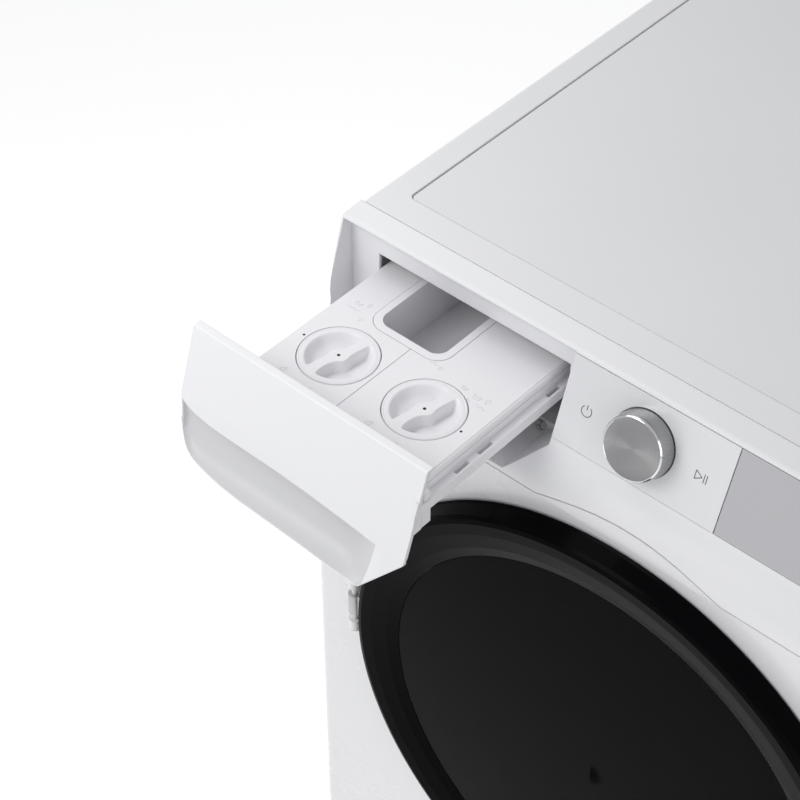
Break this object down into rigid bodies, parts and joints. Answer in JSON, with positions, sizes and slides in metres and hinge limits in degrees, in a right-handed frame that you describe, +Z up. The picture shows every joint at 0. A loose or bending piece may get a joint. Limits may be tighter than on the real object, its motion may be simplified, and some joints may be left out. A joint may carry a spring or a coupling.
{
  "type": "front load washing machine",
  "caption": "White front load washing machine with a black round door, tilted control face, turned dial and a pull-out detergent drawer with two screw-capped tanks.",
  "frame": {"origin": "on the floor, at the middle of the footprint with the detergent drawer pulled out as at rest", "axes": "+Z up, the front faces -Y, +X to the right of someone facing the machine"},
  "size_m": [0.6, 0.7552, 0.85],
  "materials": {
    "white_enamel": "smooth white enamel on sheet steel",
    "worktop_laminate": "fine textured white worktop plate",
    "white_plastic": "satin white moulded plastic",
    "tray_plastic": "satin white dispenser plastic",
    "panel_silver": "pale satin control plate",
    "display_smoke": "smoked grey display window",
    "spun_aluminium": "radially spun metal",
    "black_gloss": "gloss black",
    "smoked_window": "dark tinted window",
    "clear_glass": "clear moulded glass",
    "grey_plastic": "grey moulded plastic",
    "galvanised": "galvanised sheet",
    "stainless": "brushed stainless steel",
    "die_cast": "die-cast aluminium",
    "gasket_rubber": "grey rubber",
    "black_rubber": "black rubber",
    "concrete": "cast ballast",
    "motor_case": "dark motor casing",
    "board_green": "circuit board",
    "valve_white": "white valve body"
  },
  "bodies": {
    "cabinet": {"left_side_panel": "white_enamel", "right_side_panel": "white_enamel", "rear_panel": "galvanised", "rear_service_cover": "galvanised", "rear_cover_screws": "stainless", "transport_bolt_caps": "grey_plastic", "lower_front_panel": "white_enamel", "base_frame": "galvanised", "levelling_feet": "black_rubber", "foot_locknuts": "galvanised", "top_cover": "white_plastic", "top_plate": "worktop_laminate", "control_fascia": "white_plastic", "control_plate": "panel_silver", "display_window": "display_smoke", "control_board": "board_green", "recess_screw": "stainless", "dispenser_housing": "tray_plastic", "door_hinge_bracket": "galvanised", "door_hinge_pin": "stainless", "door_lock": "grey_plastic", "door_gasket": "gasket_rubber", "tub_front": "grey_plastic", "tub_rear": "grey_plastic", "front_counterweight": "concrete", "suspension_springs": "galvanised", "shock_absorbers": "galvanised", "heater": "stainless", "drum_bearings": "stainless", "drive_motor": "motor_case", "drive_belt": "black_rubber", "water_inlet_valve": "valve_white", "drain_outlet": "grey_plastic", "power_inlet": "black_rubber", "filter_bezel": "white_plastic", "drain_pump": "grey_plastic", "sump_hose": "gasket_rubber"},
    "drawer": {"drawer_front": "white_plastic", "drawer_tray": "tray_plastic", "left_tank_lid": "tray_plastic", "right_tank_lid": "tray_plastic", "powder_insert": "tray_plastic"},
    "left_cap": {"left_tank_cap": "tray_plastic"},
    "right_cap": {"right_tank_cap": "tray_plastic"},
    "door": {"door_ring": "black_gloss", "door_window": "smoked_window", "door_inner_frame": "grey_plastic", "door_glass_bowl": "clear_glass", "door_hinge_arm": "die_cast"},
    "latch": {"latch_hook": "grey_plastic"},
    "dial": {"dial_knob": "spun_aluminium"},
    "drum": {"drum_shell": "stainless", "drum_paddles": "stainless", "drum_spider": "die_cast", "drive_shaft": "stainless", "drum_pulley": "die_cast"},
    "motor_rotor": {"motor_pulley": "stainless"},
    "flap": {"filter_flap": "white_plastic"},
    "pump_filter": {"filter_cap": "grey_plastic"},
    "impeller": {"pump_impeller": "grey_plastic"}
  },
  "joints": [
    {"name": "drawer_slide", "type": "slide", "parent": "cabinet", "child": "drawer", "axis": [0, -1, 0], "range_m": [-0.153, 0.045]},
    {"name": "left_cap_turn", "type": "hinge", "parent": "drawer", "child": "left_cap", "pos_m": [-0.228, -0.26667, 0.806], "axis": [0, 0, 1], "range_deg": [0, 60]},
    {"name": "right_cap_turn", "type": "hinge", "parent": "drawer", "child": "right_cap", "pos_m": [-0.1472, -0.26717, 0.806], "axis": [0, 0, 1], "range_deg": [0, 60]},
    {"name": "door_swing", "type": "hinge", "parent": "cabinet", "child": "door", "pos_m": [-0.25, -0.23257, 0.496], "axis": [0, 0, -1], "range_deg": [0, 150]},
    {"name": "latch_hook_rock", "type": "hinge", "parent": "door", "child": "latch", "pos_m": [0.225, -0.23137, 0.496], "axis": [0, 0, 1], "range_deg": [0, 8], "stiffness_Nm_per_rad": 0.02, "springref_deg": -2.86},
    {"name": "dial_turn", "type": "hinge", "parent": "cabinet", "child": "dial", "pos_m": [-0.014, -0.19567, 0.812], "axis": [0, -0.9485, 0.3167], "continuous": true},
    {"name": "drum_spin", "type": "hinge", "parent": "cabinet", "child": "drum", "pos_m": [0, 0.03363, 0.496], "axis": [0, 1, 0], "continuous": true},
    {"name": "motor_spin", "type": "hinge", "parent": "cabinet", "child": "motor_rotor", "pos_m": [0, 0.33063, 0.178], "axis": [0, 1, 0], "continuous": true},
    {"name": "filter_flap_tip", "type": "hinge", "parent": "cabinet", "child": "flap", "pos_m": [-0.185, -0.22117, 0.04], "axis": [1, 0, 0], "range_deg": [0, 90]},
    {"name": "filter_cap_turn", "type": "hinge", "parent": "cabinet", "child": "pump_filter", "pos_m": [-0.185, -0.19637, 0.088], "axis": [0, -1, 0], "range_deg": [0, 450]},
    {"name": "impeller_spin", "type": "hinge", "parent": "cabinet", "child": "impeller", "pos_m": [-0.185, -0.10637, 0.088], "axis": [0, 1, 0], "continuous": true}
  ],
  "couplings": [
    {"joint": "motor_spin", "follows": "drum_spin", "ratio": 14}
  ]
}
